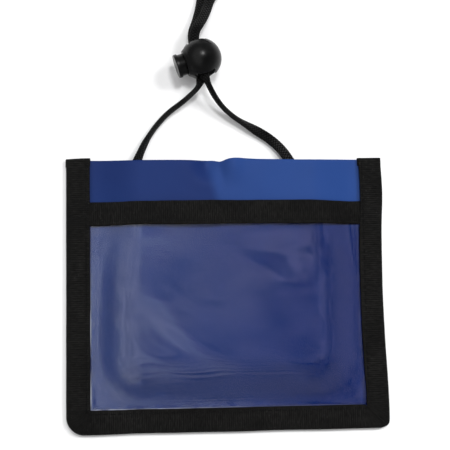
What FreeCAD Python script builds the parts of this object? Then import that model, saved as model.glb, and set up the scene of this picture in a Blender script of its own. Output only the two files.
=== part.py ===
import FreeCAD, Part

import math
import os

# Neck pouch wallet, lying flat on its back. Millimetres.
# +X runs across the pouch, +Y from its closed end to its mouth and on to the neck cord, +Z up.
# The origin is under the middle of the pouch, on the surface that it lies on.

# --- Pouch ---------------------------------------------------------------
POUCH_WIDTH = 127.0
POUCH_HEIGHT = 108.0
CORNER_RADIUS = 6.0        # the two rounded corners at the closed end
TAPE_VISIBLE = 9.4         # half of a 19 mm binding tape, folded over the edge
TAPE = 0.5                 # thickness of the edge tape
TAPE_FOLD_RADIUS = 1.2     # outer rounding of the fold
CLOTH = 0.4                # thickness of the nylon panels
VINYL = 0.3                # thickness of the clear sheet
WINDOW_TAPE = 0.4          # thickness of the tape on the clear sheet's free edge
STRIP_HEIGHT = 17.2        # cloth that shows above the window tape
WINDOW_TAPE_VISIBLE = 9.3
MOUTH_SETBACK = 0.7        # the cloth stops this far short of the ends of the tape
SEAM_CLEARANCE = 0.1       # between the edge of a layer and the fold around it
SLOPE_CLEARANCE = 0.3      # between the tape's inner edge and where the front begins to rise
SLOPE_RUN = 12.0           # width of the sloping margin around the raised front
POCKET_RISE = 5.0          # how far the front panel stands off the back panel
WINDOW_RISE = 5.8          # how far the clear sheet rises from its seam

# --- Hook-and-loop closure -----------------------------------------------
PATCH_SIZE = 19.0
PATCH_X = -2.0
PATCH_FROM_MOUTH = 1.0
HOOK_THICKNESS = 1.2
LOOP_THICKNESS = 1.0

# --- Thread ---------------------------------------------------------------
THREAD_WIDTH = 0.5
THREAD_THICKNESS = 0.12
STITCH_INSET = 1.5         # from the inner edge of a tape to its row of stitches
THREAD_GROOVE = 0.15       # the underside row is pulled this deep into the tape
THREAD_CLEARANCE = 0.05    # on each side of the underside row
BACK_STITCH_MARGIN = 5.8   # the hidden row stops this far inside the foot of the slope

# --- Cord lock -------------------------------------------------------------
BALL_RADIUS = 8.2
LOCK_X = -9.44
LOCK_Y = 93.85
LOCK_ANGLE = 18.7          # degrees, from +X to the line of the plunger
FACET = 7.5                # flats around the two ends of the cord hole, from the centre
PRESS_TRAVEL = 2.5
PINCH_CLEARANCE = 0.25     # beside each strand, with the plunger out
STRAND_GAP = 0.2           # between the strands, one above the other in the lock
HOLE_END_CLEARANCE = 0.3   # above and below the pair of strands
HOLE_ROUNDING = 1.2
FLARE = 1.6                # how much the hole widens each way at its mouths
FLARE_DEPTH = 2.9
STEM_WALL = 1.3            # over and under the cord hole
STEM_END_WALL = 1.6
STEM_CLEARANCE = 0.1
COLLAR_WALL = 0.8
COLLAR_END = 6.7
COLLAR_ROOT_RADIUS = 7.3
COLLAR_ROOT = 3.5
HEAD_LIP = 0.45
HEAD_THICKNESS = 1.4
HEAD_ROUNDING = 0.4
BORE_PAST_STEM = 0.2       # spare depth behind the pressed stem
SPRING_WIRE_RADIUS = 0.25
SPRING_TURNS = 4
SPRING_STEPS = 12          # points of the wire's path in one turn
SPRING_PRESSED_LENGTH = 2.2
SPRING_CLEARANCE = 0.05    # at each end
SPRING_SIDE_CLEARANCE = 0.4
SPRING_SEAT_STEP = 0.9     # the spring's seat is this much narrower than the stem

# --- Neck cord -------------------------------------------------------------
CORD_RADIUS = 1.3          # a round section of about the area of the flat braid
TACK_WIDTH = 6.2
TACK_LENGTH = 2.4
TACK_COVER = 0.4           # thread over the cord
TACK_FROM_END = 3.0
TACK_CLEARANCE = 0.05
COIL_X = 10.0
COIL_Y = 161.2
COIL_MEAN_RADIUS = 22.0
COIL_WIDTH = 9.0
COIL_HEIGHT = 6.4
COIL_ROUNDING = 1.0

# Each strand runs from its end inside the mouth, through the lock, to the coil.
CORD_LEFT_POINTS = [
    (-38.1, 45.8, 2.3),
    (-34.6, 55.0, 2.3),
    (-29.9, 64.6, 1.4),
    (-23.2, 72.6, 1.4),
    (-15.8, 77.7, 3.8),
    (-7.87, 85.3, 6.8),
    (-13.67, 102.45, 6.8),
    (-10.8, 113.0, 2.4),
    (-7.4, 122.6, 1.4),
    (-7.9, 133.0, 1.35),
    (-11.1, 143.9, 2.6),
    (-13.4, 155.4, 4.6),
]
CORD_RIGHT_POINTS = [
    (30.0, 46.4, 2.3),
    (25.6, 55.0, 2.3),
    (19.6, 61.8, 1.4),
    (11.2, 66.9, 1.4),
    (2.9, 71.6, 2.4),
    (-3.2, 77.2, 5.6),
    (-7.87, 85.3, 9.6),
    (-13.67, 102.45, 9.6),
    (-7.8, 112.4, 5.6),
    (-3.0, 122.2, 1.7),
    (4.8, 130.2, 1.35),
    (13.9, 135.2, 1.35),
    (22.1, 140.4, 1.4),
]
RUN_SHARE = 0.45           # share of the shorter run that an arc's tangent takes

# --- Heights and edges that follow from the sizes above --------------------
HALF_WIDTH = POUCH_WIDTH / 2
HALF_HEIGHT = POUCH_HEIGHT / 2
BACK_Z = TAPE
FRONT_Z = BACK_Z + CLOTH
WINDOW_BINDING_Z = FRONT_Z + CLOTH
VINYL_Z = WINDOW_BINDING_Z + WINDOW_TAPE
WINDOW_BINDING_TOP = VINYL_Z + VINYL + WINDOW_TAPE
EDGE_TOP = WINDOW_BINDING_TOP + TAPE
MOUTH_Y = HALF_HEIGHT - MOUTH_SETBACK
TAPE_INNER_X = HALF_WIDTH - TAPE_VISIBLE
TAPE_INNER_Y = -HALF_HEIGHT + TAPE_VISIBLE
RISE_X = TAPE_INNER_X - SLOPE_CLEARANCE
RISE_Y = TAPE_INNER_Y + SLOPE_CLEARANCE
WINDOW_TOP_Y = HALF_HEIGHT - STRIP_HEIGHT
WINDOW_TAPE_LOW_Y = WINDOW_TOP_Y - WINDOW_TAPE_VISIBLE
PANEL_INSET = TAPE + SEAM_CLEARANCE
HOLE_WIDTH = 2 * (CORD_RADIUS + PINCH_CLEARANCE) + PRESS_TRAVEL
HOLE_HEIGHT = 4 * CORD_RADIUS + STRAND_GAP + 2 * HOLE_END_CLEARANCE
STEM_RADIUS = HOLE_HEIGHT / 2 + STEM_WALL
STEM_END = HOLE_WIDTH / 2 - PRESS_TRAVEL + STEM_END_WALL
BORE_RADIUS = STEM_RADIUS + STEM_CLEARANCE
COLLAR_RADIUS = BORE_RADIUS + COLLAR_WALL
HEAD_RADIUS = STEM_RADIUS + HEAD_LIP
SPRING_SEAT_RADIUS = STEM_RADIUS - SPRING_SEAT_STEP
SPRING_SEAT_END = STEM_END + PRESS_TRAVEL + SPRING_PRESSED_LENGTH
SPRING_RADIUS = SPRING_SEAT_RADIUS - SPRING_SIDE_CLEARANCE - SPRING_WIRE_RADIUS
PAST = 5.0                 # how far cutting tools reach past what they cut


def block(x_low, x_high, y_low, y_high, z_low, z_high):
    corner = FreeCAD.Vector(x_low, y_low, z_low)
    return Part.makeBox(x_high - x_low, y_high - y_low, z_high - z_low, corner)


def band(y_low, y_high, half_x=POUCH_WIDTH):
    """A tall block across the pouch that keeps what lies between two lines."""
    return block(-half_x, half_x, y_low, y_high, -PAST, EDGE_TOP + WINDOW_RISE + PAST)


def outline_plate(inset, y_high, z_low, z_high):
    """A plate with the pouch's outline, drawn in by an inset, with its two lower corners rounded."""
    half_x = HALF_WIDTH - inset
    y_low = -HALF_HEIGHT + inset
    plate = block(-half_x, half_x, y_low, y_high, z_low, z_high)
    corners = [e for e in plate.Edges if upright(e) and abs(e.Vertexes[0].Y - y_low) < 1e-6]
    return plate.makeFillet(CORNER_RADIUS - inset, corners)


def upright(edge):
    low, high = edge.Vertexes[0].Point, edge.Vertexes[-1].Point
    return abs(low.x - high.x) < 1e-6 and abs(low.y - high.y) < 1e-6


def rectangle(half_x, y_low, y_high, z):
    corners = [(-half_x, y_low), (half_x, y_low), (half_x, y_high), (-half_x, y_high)]
    points = [FreeCAD.Vector(x, y, z) for x, y in corners]
    return Part.makePolygon(points + points[:1])


def wedge(z_low, rise, y_high):
    """The raised middle: sloping at both sides and the closed end, upright at the mouth."""
    base = rectangle(RISE_X, RISE_Y, y_high, z_low)
    top = rectangle(RISE_X - SLOPE_RUN, RISE_Y + SLOPE_RUN, y_high, z_low + rise)
    return Part.makeLoft([base, top], True, True)


def raised_layer(z_low, thickness, rise):
    """A layer of the front: flat in the seam and raised inside it, up to the mouth."""
    flange = outline_plate(PANEL_INSET, MOUTH_Y, z_low, z_low + thickness)
    raised = flange.fuse(wedge(z_low + thickness, rise, MOUTH_Y))
    return raised.cut(wedge(z_low, rise, MOUTH_Y + PAST)).removeSplitter()


def make_back_panel():
    return outline_plate(PANEL_INSET, MOUTH_Y, BACK_Z, BACK_Z + CLOTH)


def make_front_panel():
    return raised_layer(FRONT_Z, CLOTH, POCKET_RISE)


def make_window_sheet():
    sheet = raised_layer(VINYL_Z, VINYL, WINDOW_RISE)
    return sheet.common(band(-POUCH_HEIGHT, WINDOW_TOP_Y - WINDOW_TAPE - SEAM_CLEARANCE))


def make_window_binding():
    """A tape folded over the sheet's free edge, with a leg on each face."""
    thickness = WINDOW_BINDING_TOP - WINDOW_BINDING_Z
    folded = raised_layer(WINDOW_BINDING_Z, thickness, WINDOW_RISE)
    folded = folded.common(band(WINDOW_TAPE_LOW_Y, WINDOW_TOP_Y))
    slot = raised_layer(VINYL_Z, VINYL, WINDOW_RISE)
    slot = slot.common(band(-POUCH_HEIGHT, WINDOW_TOP_Y - WINDOW_TAPE))
    return folded.cut(slot)


def make_edge_binding():
    """One tape folded round both sides and the closed end, open towards the middle."""
    outer = outline_plate(0.0, HALF_HEIGHT, 0.0, EDGE_TOP)
    rims = [e for e in outer.Edges if not upright(e) and e.CenterOfMass.y < HALF_HEIGHT - 1e-6]
    outer = outer.makeFillet(TAPE_FOLD_RADIUS, rims)
    layers = outline_plate(TAPE, HALF_HEIGHT + PAST, TAPE, EDGE_TOP - TAPE)
    middle = block(-TAPE_INNER_X, TAPE_INNER_X, TAPE_INNER_Y, HALF_HEIGHT + PAST, -PAST, EDGE_TOP + PAST)
    binding = outer.cut(layers).cut(middle)
    return binding.cut(stitch_frame(-PAST, THREAD_GROOVE, THREAD_WIDTH / 2))


def stitch_frame(z_low, z_high, half_width):
    """A row of thread round three sides, a set distance outside the tape's inner edge."""
    row_x = TAPE_INNER_X + STITCH_INSET
    row_y = TAPE_INNER_Y - STITCH_INSET
    outer_x = row_x + half_width
    inner_x = row_x - half_width
    outer = block(-outer_x, outer_x, row_y - half_width, HALF_HEIGHT, z_low, z_high)
    inner = block(-inner_x, inner_x, row_y + half_width, HALF_HEIGHT + PAST, z_low - PAST, z_high + PAST)
    return outer.cut(inner)


def make_edge_stitch():
    return stitch_frame(EDGE_TOP, EDGE_TOP + THREAD_THICKNESS, THREAD_WIDTH / 2)


def make_edge_stitch_back():
    narrow = THREAD_WIDTH / 2 - THREAD_CLEARANCE
    return stitch_frame(THREAD_GROOVE - THREAD_THICKNESS, THREAD_GROOVE, narrow)


def make_window_stitch(z_low, half_x):
    row_y = WINDOW_TAPE_LOW_Y + STITCH_INSET
    row = raised_layer(z_low, THREAD_THICKNESS, WINDOW_RISE)
    return row.common(band(row_y - THREAD_WIDTH / 2, row_y + THREAD_WIDTH / 2, half_x))


def make_patch(z_low, thickness):
    """One square of the closure, behind the middle of the mouth."""
    y_high = MOUTH_Y - PATCH_FROM_MOUTH
    x_low = PATCH_X - PATCH_SIZE / 2
    return block(x_low, x_low + PATCH_SIZE, y_high - PATCH_SIZE, y_high, z_low, z_low + thickness)


def place_lock(shape):
    """Moves a piece from the lock's own frame: plunger towards -X, cord hole along Y."""
    placed = shape.copy()
    placed.rotate(FreeCAD.Vector(0, 0, 0), FreeCAD.Vector(0, 0, 1), LOCK_ANGLE)
    placed.translate(FreeCAD.Vector(LOCK_X, LOCK_Y, BALL_RADIUS))
    return placed


def axial_cylinder(radius, x_low, x_high):
    start = FreeCAD.Vector(x_low, 0, 0)
    return Part.makeCylinder(radius, x_high - x_low, start, FreeCAD.Vector(1, 0, 0))


def cord_hole(x_centre):
    """The rounded slot that both strands pass through, one above the other."""
    half_x = HOLE_WIDTH / 2
    half_z = HOLE_HEIGHT / 2
    slot = block(x_centre - half_x, x_centre + half_x, -PAST * 2, PAST * 2, -half_z, half_z)
    long_edges = [e for e in slot.Edges if abs(e.Vertexes[0].Y - e.Vertexes[-1].Y) > PAST]
    return slot.makeFillet(HOLE_ROUNDING, long_edges)


def hole_flare(side):
    """The widening of the cord hole towards one of its mouths; side is -1 or 1."""
    half_x = HOLE_WIDTH / 2
    half_z = HOLE_HEIGHT / 2
    sections = []
    for depth, grow in ((FLARE_DEPTH, 0.0), (-FLARE_DEPTH, 2 * FLARE)):
        y = side * (FACET - depth)
        corners = [(-1, -1), (1, -1), (1, 1), (-1, 1)]
        points = [FreeCAD.Vector(i * (half_x + grow), y, j * (half_z + grow)) for i, j in corners]
        sections.append(Part.makePolygon(points + points[:1]))
    return Part.makeLoft(sections, True, True)


def make_lock_body():
    ball = Part.makeSphere(BALL_RADIUS)
    along = FreeCAD.Vector(-1, 0, 0)
    root = FreeCAD.Vector(-COLLAR_ROOT, 0, 0)
    collar = Part.makeCone(COLLAR_ROOT_RADIUS, COLLAR_RADIUS, COLLAR_END - COLLAR_ROOT, root, along)
    reach = BALL_RADIUS + PAST
    body = ball.fuse(collar)
    body = body.common(block(-COLLAR_END, reach, -FACET, FACET, -reach, reach))
    body = body.cut(axial_cylinder(BORE_RADIUS, -reach, STEM_END + PRESS_TRAVEL + BORE_PAST_STEM))
    body = body.cut(axial_cylinder(SPRING_SEAT_RADIUS, 0.0, SPRING_SEAT_END))
    body = body.cut(cord_hole(0.0))
    for side in (-1, 1):
        body = body.cut(hole_flare(side))
    return place_lock(body)


def make_lock_plunger():
    """Head and stem in one, with the stem's hole drawn out of line by the whole travel."""
    head_low = -COLLAR_END - PRESS_TRAVEL - HEAD_THICKNESS
    head = axial_cylinder(HEAD_RADIUS, head_low, head_low + HEAD_THICKNESS)
    rim = [e for e in head.Edges if abs(e.BoundBox.XMax - head_low) < 1e-4]
    head = head.makeFillet(HEAD_ROUNDING, rim)
    stem = axial_cylinder(STEM_RADIUS, head_low + HEAD_THICKNESS, STEM_END)
    return place_lock(head.fuse(stem).removeSplitter().cut(cord_hole(-PRESS_TRAVEL)))


def rounded_path(points):
    """Straight runs joined by tangent arcs. Returns the wire and the arcs' radii."""
    corners = [FreeCAD.Vector(*p) for p in points]
    edges = []
    radii = []
    here = corners[0]
    for before, corner, after in zip(corners, corners[1:], corners[2:]):
        back = before - corner
        ahead = after - corner
        tangent = RUN_SHARE * min(back.Length, ahead.Length)
        turn = math.pi - back.getAngle(ahead)
        radius = tangent / math.tan(turn / 2)
        back.normalize()
        ahead.normalize()
        inward = (back + ahead).normalize()
        to_centre = math.hypot(radius, tangent)
        middle = corner + inward * (to_centre - radius)
        arc_start = corner + back * tangent
        arc_end = corner + ahead * tangent
        edges.append(Part.LineSegment(here, arc_start).toShape())
        edges.append(Part.Arc(arc_start, middle, arc_end).toShape())
        radii.append(radius)
        here = arc_end
    edges.append(Part.LineSegment(here, corners[-1]).toShape())
    return Part.Wire(edges), radii


def sweep_round(path, radius, points):
    """A round bar of a radius along a path that starts at the first point towards the second."""
    start = FreeCAD.Vector(*points[0])
    heading = FreeCAD.Vector(*points[1]) - start
    section = Part.Wire(Part.makeCircle(radius, start, heading))
    return path.makePipeShell([section], True, False)


def make_lock_spring():
    start = STEM_END + SPRING_CLEARANCE + SPRING_WIRE_RADIUS
    end = SPRING_SEAT_END - SPRING_CLEARANCE - SPRING_WIRE_RADIUS
    steps = SPRING_TURNS * SPRING_STEPS
    points = []
    for step in range(steps + 1):
        angle = 2 * math.pi * step / SPRING_STEPS
        x = start + (end - start) * step / steps
        points.append((x, SPRING_RADIUS * math.cos(angle), SPRING_RADIUS * math.sin(angle)))
    path, _ = rounded_path(points)
    return place_lock(sweep_round(path, SPRING_WIRE_RADIUS, points))


def make_cord(name, points):
    path, radii = rounded_path(points)
    tube = sweep_round(path, CORD_RADIUS, points)
    expected = math.pi * CORD_RADIUS ** 2 * path.Length
    print(name, "length", round(path.Length, 1), "mm, radii", [round(r, 1) for r in radii])
    print(name, "volume", round(tube.Volume, 1), "of section times length", round(expected, 1))
    return tube


def make_bar_tack(points):
    """Thread sewn over the end of a strand, down to the inside of the back panel."""
    end = FreeCAD.Vector(*points[0])
    heading = FreeCAD.Vector(*points[1]) - end
    angle = math.degrees(math.atan2(heading.y, heading.x))
    panel_top = BACK_Z + CLOTH
    height = end.z + CORD_RADIUS + TACK_COVER - panel_top
    tack = block(TACK_FROM_END - TACK_LENGTH / 2, TACK_FROM_END + TACK_LENGTH / 2,
                 -TACK_WIDTH / 2, TACK_WIDTH / 2, 0.0, height)
    groove = axial_cylinder(CORD_RADIUS + TACK_CLEARANCE, -PAST, PAST * 2)
    groove.translate(FreeCAD.Vector(0, 0, end.z - panel_top))
    below = block(-PAST, PAST * 2, -CORD_RADIUS - TACK_CLEARANCE, CORD_RADIUS + TACK_CLEARANCE,
                  -PAST, end.z - panel_top)
    tack = tack.cut(groove).cut(below)
    tack.rotate(FreeCAD.Vector(0, 0, 0), FreeCAD.Vector(0, 0, 1), angle)
    tack.translate(FreeCAD.Vector(end.x, end.y, panel_top))
    return tack


def make_cord_coil():
    """The outer shape of the rest of the loop, wound into a flat ring."""
    centre = FreeCAD.Vector(COIL_X, COIL_Y, 0)
    outer = Part.makeCylinder(COIL_MEAN_RADIUS + COIL_WIDTH / 2, COIL_HEIGHT, centre)
    inner = Part.makeCylinder(COIL_MEAN_RADIUS - COIL_WIDTH / 2, COIL_HEIGHT, centre)
    ring = outer.cut(inner)
    rims = [e for e in ring.Edges if len(e.Vertexes) == 1]
    return ring.makeFillet(COIL_ROUNDING, rims)


def save(name, shape):
    shape.exportStep(os.path.join("parts", name + ".step"))
    print(name, "solids", len(shape.Solids), "valid", shape.isValid(), "volume", round(shape.Volume, 2))


def main():
    os.makedirs("parts", exist_ok=True)
    save("back_panel", make_back_panel())
    save("front_panel", make_front_panel())
    save("window_sheet", make_window_sheet())
    save("window_binding", make_window_binding())
    save("edge_binding", make_edge_binding())
    save("edge_stitch_front", make_edge_stitch())
    save("edge_stitch_back", make_edge_stitch_back())
    save("window_stitch_front", make_window_stitch(WINDOW_BINDING_TOP, RISE_X))
    hidden_row_z = WINDOW_BINDING_Z - THREAD_THICKNESS
    save("window_stitch_back", make_window_stitch(hidden_row_z, RISE_X - BACK_STITCH_MARGIN))
    save("hook_patch", make_patch(BACK_Z + CLOTH, HOOK_THICKNESS))
    save("loop_patch", make_patch(FRONT_Z + POCKET_RISE - LOOP_THICKNESS, LOOP_THICKNESS))
    save("bar_tack_left", make_bar_tack(CORD_LEFT_POINTS))
    save("bar_tack_right", make_bar_tack(CORD_RIGHT_POINTS))
    save("cord_left", make_cord("cord_left", CORD_LEFT_POINTS))
    save("cord_right", make_cord("cord_right", CORD_RIGHT_POINTS))
    save("cord_coil", make_cord_coil())
    save("lock_body", make_lock_body())
    save("lock_plunger", make_lock_plunger())
    save("lock_spring", make_lock_spring())


main()
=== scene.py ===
import math
import random

import bmesh
import bpy
from mathutils import Matrix, Vector, noise


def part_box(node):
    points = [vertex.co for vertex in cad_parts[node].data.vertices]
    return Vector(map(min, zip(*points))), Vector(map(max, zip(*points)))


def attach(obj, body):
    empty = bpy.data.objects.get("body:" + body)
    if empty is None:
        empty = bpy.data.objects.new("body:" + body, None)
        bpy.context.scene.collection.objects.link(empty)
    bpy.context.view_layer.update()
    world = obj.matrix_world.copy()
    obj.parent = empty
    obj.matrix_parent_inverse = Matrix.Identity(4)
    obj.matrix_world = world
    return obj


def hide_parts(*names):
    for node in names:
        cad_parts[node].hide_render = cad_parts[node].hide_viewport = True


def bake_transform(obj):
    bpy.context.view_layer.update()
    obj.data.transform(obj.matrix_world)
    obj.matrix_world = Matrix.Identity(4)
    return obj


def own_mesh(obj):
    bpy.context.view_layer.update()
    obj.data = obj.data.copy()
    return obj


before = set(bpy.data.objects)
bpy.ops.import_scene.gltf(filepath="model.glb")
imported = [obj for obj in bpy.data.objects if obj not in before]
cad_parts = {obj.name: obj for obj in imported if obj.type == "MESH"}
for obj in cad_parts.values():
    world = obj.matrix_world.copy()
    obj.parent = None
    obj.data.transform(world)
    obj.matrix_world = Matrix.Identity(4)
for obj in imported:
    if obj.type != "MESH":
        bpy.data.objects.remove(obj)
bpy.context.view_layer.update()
scene = bpy.context.scene

MM = 0.001

# --- Places taken from the fixed frame -------------------------------------
pouch_low, pouch_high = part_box("edge_binding")
cloth_low, cloth_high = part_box("front_panel")
back_low, back_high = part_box("back_panel")
film_low, film_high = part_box("window_sheet")
window_tape_low, window_tape_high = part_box("window_binding")
edge_row_low, edge_row_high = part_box("edge_stitch_front")
back_row_low, back_row_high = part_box("edge_stitch_back")
window_row_low, window_row_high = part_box("window_stitch_front")
hook_low, hook_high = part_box("hook_patch")
loop_low, loop_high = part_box("loop_patch")

# --- Camera and light ------------------------------------------------------
EYE = Vector((-33.5, -12.4, 399.0)) * MM
LOOKED_AT = Vector((-0.3, 27.7, 0.0)) * MM
CAMERA_ROLL = math.radians(-0.96)
ROOM_LIGHT = 0.36
PANEL_LIGHT = 1.10

# --- Sewing sizes ----------------------------------------------------------
EDGE_TAPE_SHOWS = 9.4 * MM
EDGE_TAPE_THICKNESS = 0.5 * MM
LEFT_CORNER_RADIUS = 7.0 * MM
RIGHT_CORNER_RADIUS = 3.3 * MM
CLOTH_THICKNESS = 0.4 * MM
FILM_THICKNESS = 0.3 * MM
WINDOW_TAPE_THICKNESS = 0.4 * MM
SEAM_SLOPE = 20.0 * MM
STITCH_PITCH = 2.9 * MM
STITCH_LENGTH = 2.3 * MM
STITCH_WIDTH = 0.5 * MM
STITCH_HEIGHT = 0.26 * MM
ROW_INSET = 1.5 * MM        # from a tape's inner edge to its row of stitches

# --- Cord sizes ------------------------------------------------------------
CORD_WIDTH = 4.0 * MM
CORD_THICKNESS = 2.1 * MM
RING_STEP = 0.45 * MM
RING_POINTS = 20
BRAID_PITCH = 1.24 * MM     # between the faint swellings along the braid

# --- Cord lock -------------------------------------------------------------
LOCK_CENTRE = Vector((-9.44, 93.85, 8.2)) * MM
LOCK_TURN = math.radians(18.7)
CORD_LINE = Vector((-math.sin(LOCK_TURN), math.cos(LOCK_TURN), 0))
SHARP_EDGE = math.radians(32)


# --- Small shared helpers --------------------------------------------------

def ease(low, high, value):
    """0 below low, 1 above high and a smooth change between."""
    share = min(max((value - low) / (high - low), 0.0), 1.0)
    return share * share * (3 - 2 * share)


def bump_at(distance, reach):
    """1 at the middle of a soft bump, fading out over its reach."""
    return math.exp(-(distance / reach) ** 2)


def wander(x, y, size, seed):
    """Soft random lumps about -1 to 1, each about size across."""
    return noise.noise(Vector((x / size, y / size, seed)))


def add_piece(name, shape, finish, body="pouch"):
    """Turns a finished bmesh into a piece with its finish, riding on a body."""
    mesh = bpy.data.meshes.new(name)
    shape.to_mesh(mesh)
    shape.free()
    for face in mesh.polygons:
        face.use_smooth = True
    piece = bpy.data.objects.new(name, mesh)
    scene.collection.objects.link(piece)
    mesh.materials.append(finish)
    if body:
        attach(piece, body)
    return piece


def give_wall(piece, thickness):
    """Gives a sheet its thickness, half on each side."""
    wall = piece.modifiers.new("wall", "SOLIDIFY")
    wall.thickness = thickness
    wall.offset = 0.0
    wall.use_even_offset = False
    return piece


def cut_flat(cells_across, cells_along, width, length, lay):
    """A flat cut of cloth, film or tape, each point put in its place by lay. Its UV map is in metres."""
    shape = bmesh.new()
    bmesh.ops.create_grid(shape, x_segments=cells_across, y_segments=cells_along, size=0.5)
    weave = shape.loops.layers.uv.new("weave")
    for face in shape.faces:
        for corner in face.loops:
            corner[weave].uv = ((corner.vert.co.x + 0.5) * width, (corner.vert.co.y + 0.5) * length)
    for point in shape.verts:
        point.co = lay(point.co.x + 0.5, point.co.y + 0.5)
    return shape


# --- Camera, floor and lights ----------------------------------------------

def make_camera():
    """A long lens a little left of and below straight above, rolled by a degree."""
    data = bpy.data.cameras.new("camera")
    data.lens = 80
    data.sensor_width = 36
    data.clip_start = 0.01
    data.clip_end = 20
    camera = bpy.data.objects.new("camera", data)
    scene.collection.objects.link(camera)
    back = (EYE - LOOKED_AT).normalized()
    right = Vector((0, 1, 0)).cross(back).normalized()
    turn = Matrix((right, back.cross(right), back)).transposed().to_4x4()
    camera.matrix_world = Matrix.Translation(EYE) @ turn @ Matrix.Rotation(CAMERA_ROLL, 4, "Z")
    scene.camera = camera


def make_floor():
    """A plain pale sheet of paper, wide enough to fill every view."""
    shape = bmesh.new()
    bmesh.ops.create_grid(shape, x_segments=8, y_segments=8, size=3.0)
    mesh = bpy.data.meshes.new("floor")
    shape.to_mesh(mesh)
    shape.free()
    floor = bpy.data.objects.new("floor", mesh)
    scene.collection.objects.link(floor)
    paper = bpy.data.materials.new("pale_paper")
    paper.use_nodes = True
    shader = paper.node_tree.nodes["Principled BSDF"]
    shader.inputs["Base Color"].default_value = (0.88, 0.88, 0.885, 1)
    shader.inputs["Roughness"].default_value = 0.9
    shader.inputs["Specular IOR Level"].default_value = 0.1
    mesh.materials.append(paper)


def hang_lamp(name, direction, distance, size, power, shines=True):
    """A round soft lamp aimed at the pouch. One that doesn't shine is left out of reflections."""
    data = bpy.data.lights.new(name, "AREA")
    data.shape = "DISK"
    data.size = size
    data.energy = power
    lamp = bpy.data.objects.new(name, data)
    scene.collection.objects.link(lamp)
    aim = Vector((0, 40 * MM, 0))
    towards = Vector(direction).normalized()
    turn = towards.to_track_quat("Z", "Y").to_matrix().to_4x4()
    lamp.matrix_world = Matrix.Translation(aim + towards * distance) @ turn
    lamp.visible_glossy = shines
    lamp.visible_transmission = False


def make_room_light():
    """A dim room with a pale draped cloth overhead on the left, which the clear sheet reflects."""
    world = bpy.data.worlds.new("studio")
    scene.world = world
    world.use_nodes = True
    tree = world.node_tree
    around = put(tree, "TexCoord").outputs["Generated"]
    axes = put(tree, "SeparateXYZ", Vector=around)
    overhead = put(tree, "MapRange", Value=axes.outputs["Z"], From_Min=0.45, From_Max=0.80)
    leftward = put(tree, "MapRange", Value=axes.outputs["X"], From_Min=0.20, From_Max=-0.16, To_Min=-0.45)
    for side in (overhead, leftward):
        side.interpolation_type = "SMOOTHSTEP"
    turned = put(tree, "Mapping", Vector=around, Rotation=(0, 0, math.radians(42)), Scale=(7.0, 24.0, 7.0))
    folds = put(tree, "TexNoise", Vector=turned.outputs["Vector"], Scale=1.0, Detail=2.0)
    drape = put(tree, "MapRange", Value=folds.outputs["Fac"],
                From_Min=0.35, From_Max=0.65, To_Min=-0.45, To_Max=0.75)
    uneven = work_out(tree, "ADD", leftward.outputs["Result"], drape.outputs["Result"])
    panel = work_out(tree, "MULTIPLY", overhead.outputs["Result"], uneven)
    strength = put(tree, "MapRange", Value=panel, To_Min=ROOM_LIGHT, To_Max=PANEL_LIGHT)
    strength.clamp = False
    background = tree.nodes["Background"]
    background.inputs["Color"].default_value = (1.0, 1.0, 1.0, 1)
    tree.links.new(strength.outputs["Result"], background.inputs["Strength"])
    scene.view_settings.view_transform = "Standard"


# --- Finishes --------------------------------------------------------------

def feed(tree, socket, value):
    """Links an output to a socket, or sets a plain value there."""
    if isinstance(value, bpy.types.NodeSocket):
        tree.links.new(value, socket)
    else:
        socket.default_value = value


def put(tree, kind, operation=None, **given):
    """Adds a node. Each input is given by its name, with _ for a space, or by its place, as i0 or i1."""
    node = tree.nodes.new("ShaderNode" + kind)
    if operation:
        node.operation = operation
    for name, value in given.items():
        by_place = name[0] == "i" and name[1:].isdigit()
        socket = node.inputs[int(name[1:]) if by_place else name.replace("_", " ")]
        feed(tree, socket, value)
    return node


def work_out(tree, operation, *values):
    """The output of one Math node."""
    node = put(tree, "Math", operation)
    for socket, value in zip(node.inputs, values):
        feed(tree, socket, value)
    return node.outputs[0]


def new_group(name, inputs, outputs):
    """An empty node group with its sockets, and its input and output nodes."""
    group = bpy.data.node_groups.new(name, "ShaderNodeTree")
    for label, kind, value in inputs:
        socket = group.interface.new_socket(label, in_out="INPUT", socket_type=kind)
        if value is not None:
            socket.default_value = value
    for label, kind in outputs:
        group.interface.new_socket(label, in_out="OUTPUT", socket_type=kind)
    return group, group.nodes.new("NodeGroupInput"), group.nodes.new("NodeGroupOutput")


def humps(tree, turns, each=1.0):
    """Rounded humps in a row, so many for each whole turn."""
    angle = work_out(tree, "MULTIPLY", turns, math.pi * each)
    return work_out(tree, "ABSOLUTE", work_out(tree, "SINE", angle))


def make_weave_group():
    """Plain weave: threads that pass over and under each other, from a cut's own coordinates."""
    tree, given, result = new_group(
        "plain_weave",
        [("Cut", "NodeSocketVector", None), ("Thread", "NodeSocketFloat", 0.0005)],
        [("Height", "NodeSocketFloat"), ("Over", "NodeSocketFloat")],
    )
    axes = put(tree, "SeparateXYZ", Vector=given.outputs["Cut"])
    across = work_out(tree, "DIVIDE", axes.outputs["X"], given.outputs["Thread"])
    along = work_out(tree, "DIVIDE", axes.outputs["Y"], given.outputs["Thread"])
    warp, weft = humps(tree, across), humps(tree, along)
    count = work_out(tree, "ADD", work_out(tree, "FLOOR", across), work_out(tree, "FLOOR", along))
    over = work_out(tree, "FLOORED_MODULO", count, 2.0)
    warp_up = work_out(tree, "MULTIPLY", warp, work_out(tree, "MULTIPLY_ADD", weft, 0.45, 0.55))
    weft_up = work_out(tree, "MULTIPLY", weft, work_out(tree, "MULTIPLY_ADD", warp, 0.45, 0.55))
    height = put(tree, "Mix", Factor=over, A=warp_up, B=weft_up)
    tree.links.new(height.outputs["Result"], result.inputs["Height"])
    tree.links.new(over, result.inputs["Over"])
    return tree


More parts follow.
